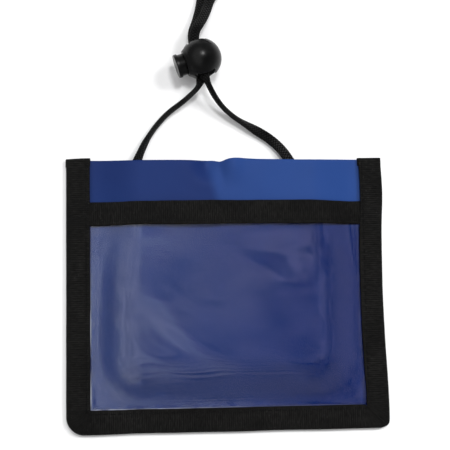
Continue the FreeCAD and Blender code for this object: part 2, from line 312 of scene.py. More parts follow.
def make_rib_group():
    """Ribbed tape: close cross ribs of thick weft with fine warp threads over them."""
    tree, given, result = new_group(
        "ribbed_tape",
        [("Cut", "NodeSocketVector", None), ("Rib", "NodeSocketFloat", 0.0009)],
        [("Height", "NodeSocketFloat")],
    )
    axes = put(tree, "SeparateXYZ", Vector=given.outputs["Cut"])
    along = work_out(tree, "DIVIDE", axes.outputs["Y"], given.outputs["Rib"])
    across = work_out(tree, "DIVIDE", axes.outputs["X"], given.outputs["Rib"])
    rib = work_out(tree, "POWER", humps(tree, along), 0.6)
    height = work_out(tree, "MULTIPLY_ADD", humps(tree, across, 1.9), 0.3, rib)
    tree.links.new(height, result.inputs["Height"])
    return tree


def make_wear_group():
    """Handling marks: a slow change of tone, and fine lint or scuffs."""
    tree, given, result = new_group(
        "handling_wear",
        [("Place", "NodeSocketVector", None), ("Patch", "NodeSocketFloat", 30.0),
         ("Speck", "NodeSocketFloat", 900.0), ("Amount", "NodeSocketFloat", 0.5)],
        [("Tone", "NodeSocketFloat"), ("Lint", "NodeSocketFloat")],
    )
    slow = put(tree, "TexNoise", Vector=given.outputs["Place"], Scale=given.outputs["Patch"], Detail=3.0)
    tone = put(tree, "MapRange", Value=slow.outputs["Fac"], From_Min=0.35, From_Max=0.68)
    fine = put(tree, "TexNoise", Vector=given.outputs["Place"], Scale=given.outputs["Speck"], Detail=2.0)
    speck = put(tree, "MapRange", Value=fine.outputs["Fac"], From_Min=0.66, From_Max=0.78)
    lint = work_out(tree, "MULTIPLY", speck.outputs["Result"], given.outputs["Amount"])
    tree.links.new(tone.outputs["Result"], result.inputs["Tone"])
    tree.links.new(lint, result.inputs["Lint"])
    return tree


plain_weave = make_weave_group()
ribbed_tape = make_rib_group()
handling_wear = make_wear_group()


def use_group(tree, group, **given):
    """Places a node group in a material, with its own values."""
    node = tree.nodes.new("ShaderNodeGroup")
    node.node_tree = group
    for name, value in given.items():
        feed(tree, node.inputs[name], value)
    return node


def new_finish(name, roughness, gloss):
    """A new material, with its node tree and its shader."""
    finish = bpy.data.materials.new(name)
    finish.use_nodes = True
    tree = finish.node_tree
    shader = tree.nodes["Principled BSDF"]
    shader.inputs["Roughness"].default_value = roughness
    shader.inputs["Specular IOR Level"].default_value = gloss
    return finish, tree, shader


def blend_tones(tree, share, dark, light):
    """A colour between dark and light."""
    mix = tree.nodes.new("ShaderNodeMix")
    mix.data_type = "RGBA"
    colours = [s for s in mix.inputs if s.type == "RGBA"]
    colours[0].default_value = (*dark, 1)
    colours[1].default_value = (*light, 1)
    tree.links.new(share, mix.inputs["Factor"])
    return next(s for s in mix.outputs if s.type == "RGBA")


def paint(tree, shader, colour):
    """Makes a colour the surface's own."""
    tree.links.new(colour, shader.inputs["Base Color"])


def vary_roughness(tree, shader, tone, low, high):
    """Roughness that follows a tone."""
    rough = put(tree, "MapRange", Value=tone, To_Min=low, To_Max=high)
    tree.links.new(rough.outputs["Result"], shader.inputs["Roughness"])


def add_lint(tree, colour, lint, pale):
    """A colour with specks of pale lint on it."""
    specks = put(tree, "VectorMath", "SCALE", i0=pale, Scale=lint)
    return put(tree, "VectorMath", "ADD", i0=colour, i1=specks.outputs[0]).outputs[0]


def raise_surface(tree, shader, height, distance, strength=1.0):
    """Fine relief, too small to model."""
    bump = put(tree, "Bump", Height=height, Distance=distance, Strength=strength)
    tree.links.new(bump.outputs["Normal"], shader.inputs["Normal"])


def cut_coordinates(tree):
    """Where a point is on the flat cut, in metres."""
    return put(tree, "UVMap").outputs["UV"]


def add_wear(tree, patch, speck, amount):
    """Where a point is on the object, in metres, and the handling marks there."""
    place = put(tree, "TexCoord").outputs["Object"]
    return place, use_group(tree, handling_wear, Place=place, Patch=patch, Speck=speck, Amount=amount)


def make_nylon():
    """Blue coated nylon: a fine plain weave with painted shade between its threads, and painted light in
    the bare strip, paler to the right of a slanting fold.
    """
    finish, tree, shader = new_finish("blue_nylon", 0.5, 0.12)
    place, wear = add_wear(tree, 22.0, 1500.0, 0.25)
    weave = use_group(tree, plain_weave, Cut=cut_coordinates(tree), Thread=0.00042)
    axes = put(tree, "SeparateXYZ", Vector=place)
    # Painted light: across the bare strip above the window the cloth is painted paler to the right of a
    # slanting line, and paler still towards the right edge.
    slant = work_out(tree, "MULTIPLY_ADD", axes.outputs["Y"], 0.25, axes.outputs["X"])
    fold = put(tree, "MapRange", Value=slant, From_Min=0.0030, From_Max=0.0080, To_Max=0.78)
    fold.interpolation_type = "SMOOTHSTEP"
    across = put(tree, "MapRange", Value=axes.outputs["X"], From_Min=0.0, From_Max=0.050, To_Max=0.22)
    half = work_out(tree, "ADD", fold.outputs["Result"], across.outputs["Result"])
    bare = put(tree, "MapRange", Value=axes.outputs["Y"], From_Min=0.028, From_Max=0.038)
    lit = work_out(tree, "MULTIPLY", half, bare.outputs["Result"])
    tone = work_out(tree, "MULTIPLY_ADD", lit, 0.72, work_out(tree, "MULTIPLY", wear.outputs["Tone"], 0.18))
    cloth = blend_tones(tree, tone, (0.0066, 0.0205, 0.106), (0.0198, 0.0600, 0.228))
    # Painted shade: the cloth colour is darker where the weave dips between threads.
    shade = put(tree, "MapRange", Value=weave.outputs["Height"], To_Min=0.82, To_Max=1.06)
    toned = put(tree, "VectorMath", "SCALE", i0=cloth, Scale=shade.outputs["Result"])
    paint(tree, shader, toned.outputs[0])
    vary_roughness(tree, shader, wear.outputs["Tone"], 0.46, 0.58)
    shader.inputs["Sheen Weight"].default_value = 0.02
    raise_surface(tree, shader, weave.outputs["Height"], 0.00005, 0.6)
    return finish


def make_binding():
    """Black ribbed polyester tape, with painted shade in the grooves between its ribs."""
    finish, tree, shader = new_finish("black_ribbed_tape", 0.75, 0.06)
    ribs = use_group(tree, ribbed_tape, Cut=cut_coordinates(tree), Rib=0.00085)
    wear = add_wear(tree, 60.0, 1200.0, 0.6)[1]
    faded = put(tree, "MapRange", Value=wear.outputs["Tone"], To_Min=0.45, To_Max=0.85)
    uneven = put(tree, "Mapping", Vector=cut_coordinates(tree), Scale=(420.0, 1500.0, 1.0))
    slub = put(tree, "TexNoise", Vector=uneven.outputs["Vector"], Scale=1.0, Detail=2.0)
    yarn = put(tree, "MapRange", Value=slub.outputs["Fac"],
               From_Min=0.35, From_Max=0.70, To_Min=0.5, To_Max=1.2)
    # Painted shade darkens the tape in the grooves between the ribs; the fading and yarn tones that
    # multiply it are random.
    tone = work_out(tree, "MULTIPLY", ribs.outputs["Height"], faded.outputs["Result"])
    tone = work_out(tree, "MULTIPLY", tone, yarn.outputs["Result"])
    tape = blend_tones(tree, tone, (0.0004, 0.0004, 0.0005), (0.0128, 0.0125, 0.0120))
    colour = add_lint(tree, tape, wear.outputs["Lint"], (0.02, 0.02, 0.019))
    paint(tree, shader, colour)
    vary_roughness(tree, shader, wear.outputs["Tone"], 0.68, 0.85)
    shader.inputs["Sheen Weight"].default_value = 0.01
    raise_surface(tree, shader, ribs.outputs["Height"], 0.00012, 0.8)
    return finish


def make_braid():
    """Black flat braid: yarns crossing each other at 45 degrees, with painted highlights on their crowns.
    """
    finish, tree, shader = new_finish("black_braid", 0.6, 0.08)
    turned = put(tree, "Mapping", Vector=cut_coordinates(tree), Rotation=(0, 0, math.radians(45)))
    weave = use_group(tree, plain_weave, Cut=turned.outputs["Vector"], Thread=0.00085)
    wear = add_wear(tree, 90.0, 1400.0, 0.5)[1]
    # Painted highlight: the yarns are lighter on their crowns and darker where they dip, times a random
    # tone.
    crown = put(tree, "MapRange", Value=weave.outputs["Height"], From_Min=0.45, From_Max=1.0)
    tone = work_out(tree, "MULTIPLY", crown.outputs["Result"], wear.outputs["Tone"])
    yarn = blend_tones(tree, tone, (0.0003, 0.0003, 0.0004), (0.0420, 0.0420, 0.0420))
    colour = add_lint(tree, yarn, wear.outputs["Lint"], (0.015, 0.015, 0.015))
    paint(tree, shader, colour)
    vary_roughness(tree, shader, weave.outputs["Over"], 0.52, 0.68)
    shader.inputs["Sheen Weight"].default_value = 0.01
    raise_surface(tree, shader, weave.outputs["Height"], 0.00045, 1.0)
    return finish


def make_thread():
    """Black polyester thread, with its twist and painted shade in the twist's grooves."""
    finish, tree, shader = new_finish("black_thread", 0.6, 0.08)
    place, wear = add_wear(tree, 80.0, 2000.0, 0.4)
    turned = put(tree, "Mapping", Vector=place, Rotation=(0, 0, 0.6))
    twist = put(tree, "TexWave", Vector=turned.outputs["Vector"], Scale=900.0)
    # Painted shade: darker in the grooves of the twist, times a random tone.
    tone = work_out(tree, "MULTIPLY", twist.outputs["Fac"], wear.outputs["Tone"])
    yarn = blend_tones(tree, tone, (0.0015, 0.0015, 0.0016), (0.0085, 0.0085, 0.0088))
    paint(tree, shader, yarn)
    raise_surface(tree, shader, twist.outputs["Fac"], 0.00004, 0.6)
    return finish


def make_pile(name, dark, light, size, depth):
    """Black closure tape: a dense nap of hooks or loops, with painted shade between the tufts."""
    finish, tree, shader = new_finish(name, 0.85, 0.1)
    place, wear = add_wear(tree, 150.0, 1000.0, 0.6)
    cells = put(tree, "TexVoronoi", Vector=place, Scale=1.0 / size)
    # Painted shade: paler at the middle of each tuft and darker between the tufts, times a random tone.
    tone = work_out(tree, "MULTIPLY", cells.outputs["Distance"], wear.outputs["Tone"])
    paint(tree, shader, blend_tones(tree, tone, light, dark))
    raise_surface(tree, shader, cells.outputs["Distance"], depth, 1.0)
    shader.inputs["Sheen Weight"].default_value = 0.02
    return finish


def make_plastic():
    """Glossy black moulded plastic, with light scuffs from handling."""
    finish, tree, shader = new_finish("black_moulded_plastic", 0.28, 0.18)
    place, wear = add_wear(tree, 120.0, 1800.0, 0.5)
    grain = put(tree, "TexNoise", Vector=place, Scale=2600.0, Detail=2.0)
    black = blend_tones(tree, wear.outputs["Tone"], (0.0012, 0.0012, 0.0013), (0.0026, 0.0026, 0.0027))
    paint(tree, shader, black)
    rough = put(tree, "MapRange", Value=wear.outputs["Tone"], To_Min=0.25, To_Max=0.34)
    scuffed = work_out(tree, "MULTIPLY_ADD", wear.outputs["Lint"], 0.25, rough.outputs["Result"])
    tree.links.new(scuffed, shader.inputs["Roughness"])
    raise_surface(tree, shader, grain.outputs["Fac"], 0.00001, 0.5)
    return finish


def make_steel():
    """Drawn steel wire, with fine lines along it."""
    finish, tree, shader = new_finish("drawn_steel", 0.3, 0.5)
    place, wear = add_wear(tree, 400.0, 2500.0, 0.5)
    lines = put(tree, "TexNoise", Vector=place, Scale=3000.0, Detail=3.0)
    grey = blend_tones(tree, wear.outputs["Tone"], (0.42, 0.42, 0.43), (0.58, 0.58, 0.58))
    paint(tree, shader, grey)
    vary_roughness(tree, shader, lines.outputs["Fac"], 0.22, 0.42)
    shader.inputs["Metallic"].default_value = 1.0
    raise_surface(tree, shader, lines.outputs["Fac"], 0.00001, 0.6)
    return finish


def make_vinyl():
    """Clear flexible vinyl: glossy, faintly rippled, duller where rubbed, and tinted darker and warmer
    rightwards as painted shade.
    """
    finish, tree, shader = new_finish("clear_vinyl", 0.12, 0.5)
    place, wear = add_wear(tree, 28.0, 700.0, 0.3)
    stretched = put(tree, "Mapping", Vector=place,
                    Rotation=(0, 0, math.radians(38)), Scale=(14.0, 55.0, 20.0))
    ripple = put(tree, "TexNoise", Vector=stretched.outputs["Vector"], Scale=1.0, Detail=2.0)
    shader.inputs["IOR"].default_value = 1.45
    shader.inputs["Transmission Weight"].default_value = 1.0
    axes = put(tree, "SeparateXYZ", Vector=place)
    # Painted shade: the sheet is tinted darker and warmer towards the right, with a little random change
    # where rubbed.
    across = put(tree, "MapRange", Value=axes.outputs["X"], From_Min=-0.045, From_Max=0.045)
    rubbed = work_out(tree, "MULTIPLY", wear.outputs["Tone"], 0.2)
    share = work_out(tree, "MULTIPLY_ADD", across.outputs["Result"], 0.8, rubbed)
    tint_with_painted_shade = blend_tones(tree, share, (0.84, 0.90, 0.92), (0.80, 0.70, 0.77))
    paint(tree, shader, tint_with_painted_shade)
    vary_roughness(tree, shader, wear.outputs["Tone"], 0.06, 0.11)
    raise_surface(tree, shader, ripple.outputs["Fac"], 0.0010, 0.4)
    lamp_ray = tree.nodes.new("ShaderNodeLightPath")
    clear = put(tree, "BsdfTransparent", Color=(0.86, 0.86, 0.88, 1))
    passing = put(tree, "MixShader", i0=lamp_ray.outputs["Is Shadow Ray"],
                  i1=shader.outputs["BSDF"], i2=clear.outputs["BSDF"])
    tree.links.new(passing.outputs["Shader"], tree.nodes["Material Output"].inputs["Surface"])
    return finish


def make_seam_highlight_vinyl():
    """Vinyl painted pale along the seam as a painted highlight: palest in the near left corner, fading
    along both seams.
    """
    finish, tree, shader = new_finish("seam_highlight_vinyl", 0.35, 0.4)
    place, wear = add_wear(tree, 90.0, 900.0, 0.3)
    axes = put(tree, "SeparateXYZ", Vector=place)
    away = work_out(tree, "ADD", axes.outputs["X"], axes.outputs["Y"])
    # Painted highlight: pale near the left corner of the seam, fading to a dark blue away from it.
    near = put(tree, "MapRange", Value=away, From_Min=-0.098, From_Max=-0.035, To_Min=1.0, To_Max=0.0)
    pale = work_out(tree, "MULTIPLY", near.outputs["Result"], wear.outputs["Tone"])
    painted_highlight = blend_tones(tree, pale, (0.020, 0.026, 0.085), (0.56, 0.59, 0.68))
    paint(tree, shader, painted_highlight)
    raise_surface(tree, shader, wear.outputs["Lint"], 0.00003, 0.5)
    return finish


# --- Cord ------------------------------------------------------------------

MID_LOCK_LEFT = (-10.77, 93.87, 6.8)
MID_LOCK_RIGHT = (-10.77, 93.87, 9.6)
LEFT_ROUTE = [
    (-38.1, 45.8, 2.3), (-34.9, 55.0, 2.3), (-30.2, 64.6, 2.1), (-23.2, 72.9, 2.2),
    (-15.6, 77.9, 4.2), (-7.87, 85.3, 6.8), MID_LOCK_LEFT,
]
RIGHT_ROUTE = [
    (30.0, 46.4, 2.3), (25.6, 55.0, 2.3), (19.6, 61.8, 1.6), (11.2, 66.9, 1.8),
    (2.9, 71.6, 2.8), (-3.2, 77.2, 5.6), (-7.87, 85.3, 9.6), MID_LOCK_RIGHT,
]
RISING_TAIL = [
    MID_LOCK_LEFT, (-13.67, 102.45, 6.8), (-10.1, 112.0, 3.0), (-8.0, 122.6, 1.3),
    (-7.9, 133.0, 1.35), (-12.0, 143.6, 2.8), (-13.8, 155.4, 4.7),
]
FALLING_TAIL = [
    (22.1, 140.4, 1.4), (13.9, 135.2, 1.35), (4.8, 130.2, 1.35), (-4.6, 122.2, 3.4),
    (-7.6, 112.0, 6.2), (-13.67, 102.45, 9.6), MID_LOCK_RIGHT,
]
LEFT_TWISTS = ((0, 0), (0.10, 30), (0.22, 62), (0.36, 88), (0.78, 95), (0.92, 180), (1, 180))
RIGHT_TWISTS = ((0, 0), (0.34, 4), (0.56, 75), (0.82, 92), (0.93, 180), (1, 180))
NO_TWIST = ((0, 0), (1, 0))
COIL_CENTRE = (10.0, 161.2)
COIL_OUTER = 24.4
COIL_INNER = 20.1
COIL_LAYERS = (5.25, 3.15, 1.05)
COIL_START_DEGREES = 193.9
COIL_TURNS = 4.705
POINTS_PER_TURN = 14


def coil_points():
    """Neat turns, clockwise from above: one outside at the top, then in, down, in again and out below."""
    points = []
    count = round(COIL_TURNS * POINTS_PER_TURN)
    for step in range(1, count):
        turn = COIL_TURNS * step / count
        inward = ease(1.62, 1.78, turn) - ease(3.62, 3.78, turn)
        radius = COIL_OUTER + (COIL_INNER - COIL_OUTER) * inward
        height = COIL_LAYERS[0]
        height += (COIL_LAYERS[1] - COIL_LAYERS[0]) * ease(0.62, 0.78, turn)
        height += (COIL_LAYERS[2] - COIL_LAYERS[1]) * ease(2.62, 2.78, turn)
        angle = math.radians(COIL_START_DEGREES - 360 * turn)
        x, y = COIL_CENTRE[0] + radius * math.cos(angle), COIL_CENTRE[1] + radius * math.sin(angle)
        points.append((x, y, height))
    return points


def route_line(name, points):
    """The smooth line of a route: a NURBS spline that has the route's points as its control points."""
    data = bpy.data.curves.new(name, "CURVE")
    data.dimensions = "3D"
    data.resolution_u = 16
    spline = data.splines.new("NURBS")
    spline.points.add(len(points) - 1)
    for control, point in zip(spline.points, points):
        control.co = (point[0] * MM, point[1] * MM, point[2] * MM, 1.0)
    spline.order_u = 3
    spline.use_endpoint_u = True
    holder = bpy.data.objects.new(name, data)
    scene.collection.objects.link(holder)
    mesh = bpy.data.meshes.new_from_object(holder)
    line = [v.co.copy() for v in mesh.vertices]
    bpy.data.objects.remove(holder)
    bpy.data.curves.remove(data)
    bpy.data.meshes.remove(mesh)
    return line


def even_steps(line, spacing):
    """Points at equal distances along a line, and the line's length."""
    travelled = [0.0]
    for a, b in zip(line, line[1:]):
        travelled.append(travelled[-1] + (b - a).length)
    total = travelled[-1]
    count = max(2, round(total / spacing))
    places = []
    piece = 0
    for step in range(count + 1):
        goal = total * step / count
        while piece < len(line) - 2 and travelled[piece + 1] < goal:
            piece += 1
        run = travelled[piece + 1] - travelled[piece]
        share = (goal - travelled[piece]) / run if run > 1e-12 else 0.0
        places.append(line[piece].lerp(line[piece + 1], share))
    return places, total


def twist_at(twists, share):
    """The turn of the flat braid, in radians, from a few (share of the way, degrees) marks."""
    for (here, low), (there, high) in zip(twists, twists[1:]):
        if share <= there:
            return math.radians(low + (high - low) * ease(here, there, share))
    return math.radians(twists[-1][1])


def tube_along(places, total, width, thickness, ring_points, twists=NO_TWIST, ripple=0.0):
    """A closed tube along even places: width lies level and thickness upright where the twist is 0."""
    squareness = 0.8
    count = len(places) - 1
    rings = []
    side = Vector((1, 0, 0))
    for step, place in enumerate(places):
        ahead = places[min(step + 1, count)] - places[max(step - 1, 0)]
        ahead.normalize()
        level = Vector((0, 0, 1)).cross(ahead)
        if level.length > 0.2:
            side = level.normalized()
        upright = ahead.cross(side).normalized()
        turn = twist_at(twists, step / count)
        flat = side * math.cos(turn) + upright * math.sin(turn)
        thin = upright * math.cos(turn) - side * math.sin(turn)
        end = min(step, count - step) * total / count
        taper = math.sqrt(max(0.0, 1 - (1 - min(end / thickness * 2, 1.0)) ** 2))
        size = max(taper, 0.25) * (1 + ripple * math.sin(2 * math.pi * step * total / count / BRAID_PITCH))
        rings.append((place, flat * (width / 2 * size), thin * (thickness / 2 * size)))

    def lay(around, along):
        place, flat, thin = rings[round(along * count)]
        angle = 2 * math.pi * around
        c, s = math.cos(angle), math.sin(angle)
        return (place + flat * math.copysign(abs(c) ** squareness, c)
                + thin * math.copysign(abs(s) ** squareness, s))

    shape = cut_flat(ring_points, count, 2 * (width + thickness) * 0.86, total, lay)
    bmesh.ops.remove_doubles(shape, verts=shape.verts, dist=0.002 * MM)
    bmesh.ops.holes_fill(shape, edges=[e for e in shape.edges if e.is_boundary], sides=0)
    bmesh.ops.recalc_face_normals(shape, faces=shape.faces)
    return shape


def make_cords():
    """The cord's two lower strands, and the loop above the lock with its put-away coil."""
    spread = [
        ("cord_lower_left", LEFT_ROUTE, LEFT_TWISTS, "cord_left"),
        ("cord_lower_right", RIGHT_ROUTE, RIGHT_TWISTS, "cord_right"),
        ("cord_upper", RISING_TAIL + coil_points() + FALLING_TAIL, NO_TWIST, "cord_coil"),
    ]
    cords = []
    for name, points, twists, node in spread:
        places, total = even_steps(route_line(name, points), RING_STEP)
        shape = tube_along(places, total, CORD_WIDTH, CORD_THICKNESS, RING_POINTS, twists, ripple=0.02)
        cord = add_piece(name, shape, black_braid, body=None)
        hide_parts(node)
        cords.append((cord, places, total))
    left, right, upper = cords
    lock_top = LOCK_CENTRE + CORD_LINE * (8.0 * MM)
    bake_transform(left[0])
    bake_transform(right[0])
    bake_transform(upper[0])

    def at_mouth(place):
        return abs(place.y - MOUTH) + (place.y > MOUTH + 2 * MM)

    exits = (min(left[1], key=at_mouth), min(right[1], key=at_mouth), lock_top + Vector((0, 0, -1.4 * MM)))
    for (cord, places, total), leaves in zip(cords, exits):
        tuple(leaves)
        [tuple(p) for p in places]


# --- Pouch: cloth, clear sheet and tapes -----------------------------------

HALF_WIDTH = pouch_high.x
MOUTH = cloth_high.y
INNER_SIDE = HALF_WIDTH - EDGE_TAPE_SHOWS
INNER_FOOT = pouch_low.y + EDGE_TAPE_SHOWS
POCKET_RISE = 5.0 * MM
FILM_RISE = 5.8 * MM
NOTCH = -2.2 * MM
SEAM_GAP = 0.4 * MM
SIDE_TUCK = 0.984           # shares of a square-cut layer that keep it inside the folded tape
FOOT_TUCK = 0.99
WINDOW_TAPE_TUCK = 0.986
CORNER_TUCK = 0.96
CLOTH_LEVEL = 1.1 * MM      # heights at the seams, where the layers lie flat
FILM_LEVEL = 1.85 * MM
WAVE_SLANT = math.radians(-38)


def rise(x, y):
    """How far the front stands up here: 0 at the seams and 1 in the middle, up to the mouth."""
    side = ease(0, SEAM_SLOPE, INNER_SIDE - SEAM_GAP - abs(x))
    foot = ease(0, SEAM_SLOPE, y - INNER_FOOT - SEAM_GAP)
    return side * foot


def seam_pull(x, y):
    """1 along the seams, fading within a few millimetres."""
    nearest = min(INNER_SIDE - abs(x), y - INNER_FOOT)
    return bump_at(max(nearest, 0.0), 7 * MM)


def cloth_height(x, y):
    """Middle of the front cloth."""
    up = rise(x, y)
    soft = wander(x, y, 26 * MM, 3.1) * 0.55 * MM + wander(x + y, y, 11 * MM, 7.7) * 0.14 * MM
    pucker = wander(x, y, 3.4 * MM, 1.3) * 0.10 * MM * seam_pull(x, y)
    near_mouth = ease(MOUTH - 11 * MM, MOUTH - 1 * MM, y)
    upper = ease(MOUTH - 16 * MM, MOUTH - 5 * MM, y)
    aside, down = x - NOTCH, MOUTH - y
    dent = 2.6 * MM * bump_at(aside + 5.2 * MM, 4.6 * MM) * near_mouth
    crease = 1.2 * MM * bump_at(aside - 4.8 * MM - down * 0.15, 3.4 * MM) * near_mouth
    hollow = 0.6 * MM * bump_at(aside - down * 0.10, 1.8 * MM) * upper
    return CLOTH_LEVEL + POCKET_RISE * up + (soft + crease - dent - hollow) * up + pucker


def film_height(x, y):
    """Middle of the clear sheet: fuller than the cloth where it is loose, easing into its flat middle."""
    free = free_share(y)
    up = rise(x, y)
    up += (1 - (1 - up) ** 1.6 - up) * free
    along = x * math.cos(WAVE_SLANT) + y * math.sin(WAVE_SLANT)
    across = y * math.cos(WAVE_SLANT) - x * math.sin(WAVE_SLANT)
    ripple = wander(along * 0.30, across, 13 * MM, 5.2) * 0.55 * MM
    ripple += wander(x, y, 30 * MM, 2.4) * 0.40 * MM + 0.25 * MM
    seam = min(INNER_SIDE + x, y - INNER_FOOT)
    pucker = wander(x, y, 4.2 * MM, 9.3) * 0.08 * MM * seam_pull(x, y)
    pucker += 0.28 * MM * bump_at(seam - 0.9 * MM, 0.55 * MM)
    return FILM_LEVEL + FILM_RISE * up + (ripple * min(up * 1.7, 1.0) + pucker) * free


def free_share(y):
    """1 on the loose middle of the clear sheet and 0 where the tape on its edge holds it."""
    return 1 - ease(window_tape_low.y - 26 * MM, window_tape_low.y - 1 * MM, y)


def mouth_wave(x):
    """The mouth edge isn't straight: a notch by the closure, with a low crest on its right."""
    wave = 0.45 * MM * bump_at(x - NOTCH - 6.5 * MM, 5.5 * MM) - 0.75 * MM * bump_at(x - NOTCH, 2.2 * MM)
    wave += 0.12 * MM * math.sin(x / (17 * MM) + 0.6) + 0.08 * MM * math.sin(x / (6.3 * MM))
    return wave + 0.6 * MM * (1 - rise(x, MOUTH))


def round_corners(x, y):
    """Keeps a square-cut layer inside the folded tape and its rounded corners."""
    x *= SIDE_TUCK
    y = MOUTH + (y - MOUTH) * FOOT_TUCK
    radius = (LEFT_CORNER_RADIUS if x < 0 else RIGHT_CORNER_RADIUS) + 1.2 * MM
    centre = Vector((math.copysign(HALF_WIDTH - radius, x), pouch_low.y + radius))
    out = Vector((abs(x) - abs(centre.x), centre.y - y))
    if min(out) <= 0:
        return x, y
    out *= max(out) / out.length * CORNER_TUCK
    return math.copysign(abs(centre.x) + out.x, x), centre.y - out.y


def make_front_cloth():
    """The front of the main pocket, with its waved mouth edge."""
    width, length = cloth_high.x - cloth_low.x, cloth_high.y - cloth_low.y

    def lay(across, along):
        x, y = round_corners(cloth_low.x + width * across, cloth_low.y + length * along)
        lifted = ease(MOUTH - 12 * MM, MOUTH, y)
        return Vector((x, y + mouth_wave(x) * lifted, cloth_height(x, y)))

    shape = cut_flat(140, 118, width, length, lay)
    cloth = give_wall(add_piece("front_cloth", shape, blue_nylon), CLOTH_THICKNESS)
    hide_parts("front_panel")


def make_back_cloth():
    """The back of the main pocket, lying almost flat."""
    width, length = back_high.x - back_low.x, back_high.y - back_low.y

    def lay(across, along):
        x, y = round_corners(back_low.x + width * across, back_low.y + length * along)
        inside = ease(0, 10 * MM, INNER_SIDE - abs(x)) * ease(0, 10 * MM, y - INNER_FOOT)
        sag = -0.12 * MM * inside + wander(x, y, 22 * MM, 6.6) * 0.12 * MM * inside
        wave = 0.3 * MM * math.sin(x / (15 * MM)) * ease(back_high.y - 12 * MM, back_high.y, y)
        return Vector((x, y + wave, (back_low.z + back_high.z) / 2 + sag))

    shape = cut_flat(100, 84, width, length, lay)
    cloth = give_wall(add_piece("back_cloth", shape, blue_nylon), CLOTH_THICKNESS)
    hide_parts("back_panel")


def make_window_film():
    """The clear front of the window pocket."""
    width, length = film_high.x - film_low.x, film_high.y - film_low.y

    def lay(across, along):
        x, y = round_corners(film_low.x + width * across, film_low.y + length * along)
        return Vector((x, y, film_height(x, y)))

    shape = cut_flat(120, 86, width, length, lay)
    film = give_wall(add_piece("window_film", shape, clear_vinyl), FILM_THICKNESS)
    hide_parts("window_sheet")


def make_seam_highlight_bead():
    """A thin pale bead along the clear sheet's seam, beside the tape on the left and below: a painted
    highlight where the sheet meets the tape.
    """
    margin = 0.15 * MM
    top = Vector((-INNER_SIDE + margin, window_tape_low.y, 0))
    corner = Vector((top.x, INNER_FOOT + margin, 0))
    end = Vector((-top.x, corner.y, 0))
    run = [top.lerp(corner, step / 40) for step in range(41)]
    run += [corner.lerp(end, step / 60) for step in range(1, 61)]
    for place in run:
        place.z = film_height(place.x, place.y) + FILM_THICKNESS / 2
    places, total = even_steps(run, 0.8 * MM)
    shape = tube_along(places, total, 0.42 * MM, 0.22 * MM, 8)
    add_piece("film_seam_highlight", shape, seam_highlight_vinyl)


def make_window_tape():
    """Tape folded over the clear sheet's free edge, one leg on each face."""
    leg = window_tape_high.y - window_tape_low.y - 0.5 * MM
    fold_radius = 0.36 * MM
    fold = math.pi * fold_radius
    total = 2 * leg + fold
    low_z, high_z = 1.5 * MM, 2.2 * MM
    middle_z = (low_z + high_z) / 2
    width = window_tape_high.x - window_tape_low.x

    def lay(around, sideways):
        x = (window_tape_low.x + width * sideways) * WINDOW_TAPE_TUCK
        way = around * total
        if way < leg:
            y, z = window_tape_low.y + way, low_z
        elif way < leg + fold:
            turn = (way - leg) / fold * math.pi
            y = window_tape_low.y + leg + fold_radius * math.sin(turn)
            z = middle_z - fold_radius * math.cos(turn)
        else:
            y, z = window_tape_low.y + total - way, high_z
        middle = (y - window_tape_low.y) / leg
        edge = wander(x, middle, 13 * MM, 4.4) * 0.22 * MM + wander(x, middle, 4 * MM, 8.1) * 0.07 * MM
        crown = 0.0
        if z > middle_z:
            crown = 0.10 * MM * math.sin(math.pi * min(max(middle, 0), 1))
            crown -= 0.10 * MM * bump_at(y - window_tape_low.y - ROW_INSET, 0.7 * MM)
            crown += wander(x, y, 7 * MM, 2.9) * 0.05 * MM
        return Vector((x, y + edge, z + FILM_RISE * rise(x, y) + crown))

    shape = cut_flat(34, 160, total, width, lay)
    bmesh.ops.recalc_face_normals(shape, faces=shape.faces)
    tape = give_wall(add_piece("window_tape", shape, black_tape), WINDOW_TAPE_THICKNESS)
    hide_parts("window_binding")


def tape_course(travel):
    """The outer edge's point at a distance round from the mouth, and the inner point beside it."""
    left, right, top, foot = pouch_low.x, pouch_high.x, pouch_high.y, pouch_low.y
    runs = (top - foot - LEFT_CORNER_RADIUS, LEFT_CORNER_RADIUS * math.pi / 2,
            right - left - LEFT_CORNER_RADIUS - RIGHT_CORNER_RADIUS, RIGHT_CORNER_RADIUS * math.pi / 2,
            top - foot - RIGHT_CORNER_RADIUS)
    stage = 0
    while stage < 4 and travel > runs[stage]:
        travel -= runs[stage]
        stage += 1
    if stage == 0:
        y = top - travel
        return Vector((left, y)), Vector((left + EDGE_TAPE_SHOWS, max(y, INNER_FOOT)))
    if stage == 1:
        angle = travel / LEFT_CORNER_RADIUS
        centre = Vector((left + LEFT_CORNER_RADIUS, foot + LEFT_CORNER_RADIUS))
        out = centre - Vector((math.cos(angle), math.sin(angle))) * LEFT_CORNER_RADIUS
        return out, Vector((-INNER_SIDE, INNER_FOOT))
    if stage == 2:
        x = left + LEFT_CORNER_RADIUS + travel
        return Vector((x, foot)), Vector((min(max(x, -INNER_SIDE), INNER_SIDE), INNER_FOOT))
    if stage == 3:
        angle = travel / RIGHT_CORNER_RADIUS
        centre = Vector((right - RIGHT_CORNER_RADIUS, foot + RIGHT_CORNER_RADIUS))
        out = centre + Vector((math.sin(angle), -math.cos(angle))) * RIGHT_CORNER_RADIUS
        return out, Vector((INNER_SIDE, INNER_FOOT))
    y = foot + RIGHT_CORNER_RADIUS + travel
    return Vector((right, y)), Vector((INNER_SIDE, max(y, INNER_FOOT)))


def tape_course_length():
    """The length of the outer edge from mouth to mouth."""
    corners = LEFT_CORNER_RADIUS + RIGHT_CORNER_RADIUS
    straight = 2 * (pouch_high.y - pouch_low.y) + (pouch_high.x - pouch_low.x) - 2 * corners
    return straight + corners * math.pi / 2


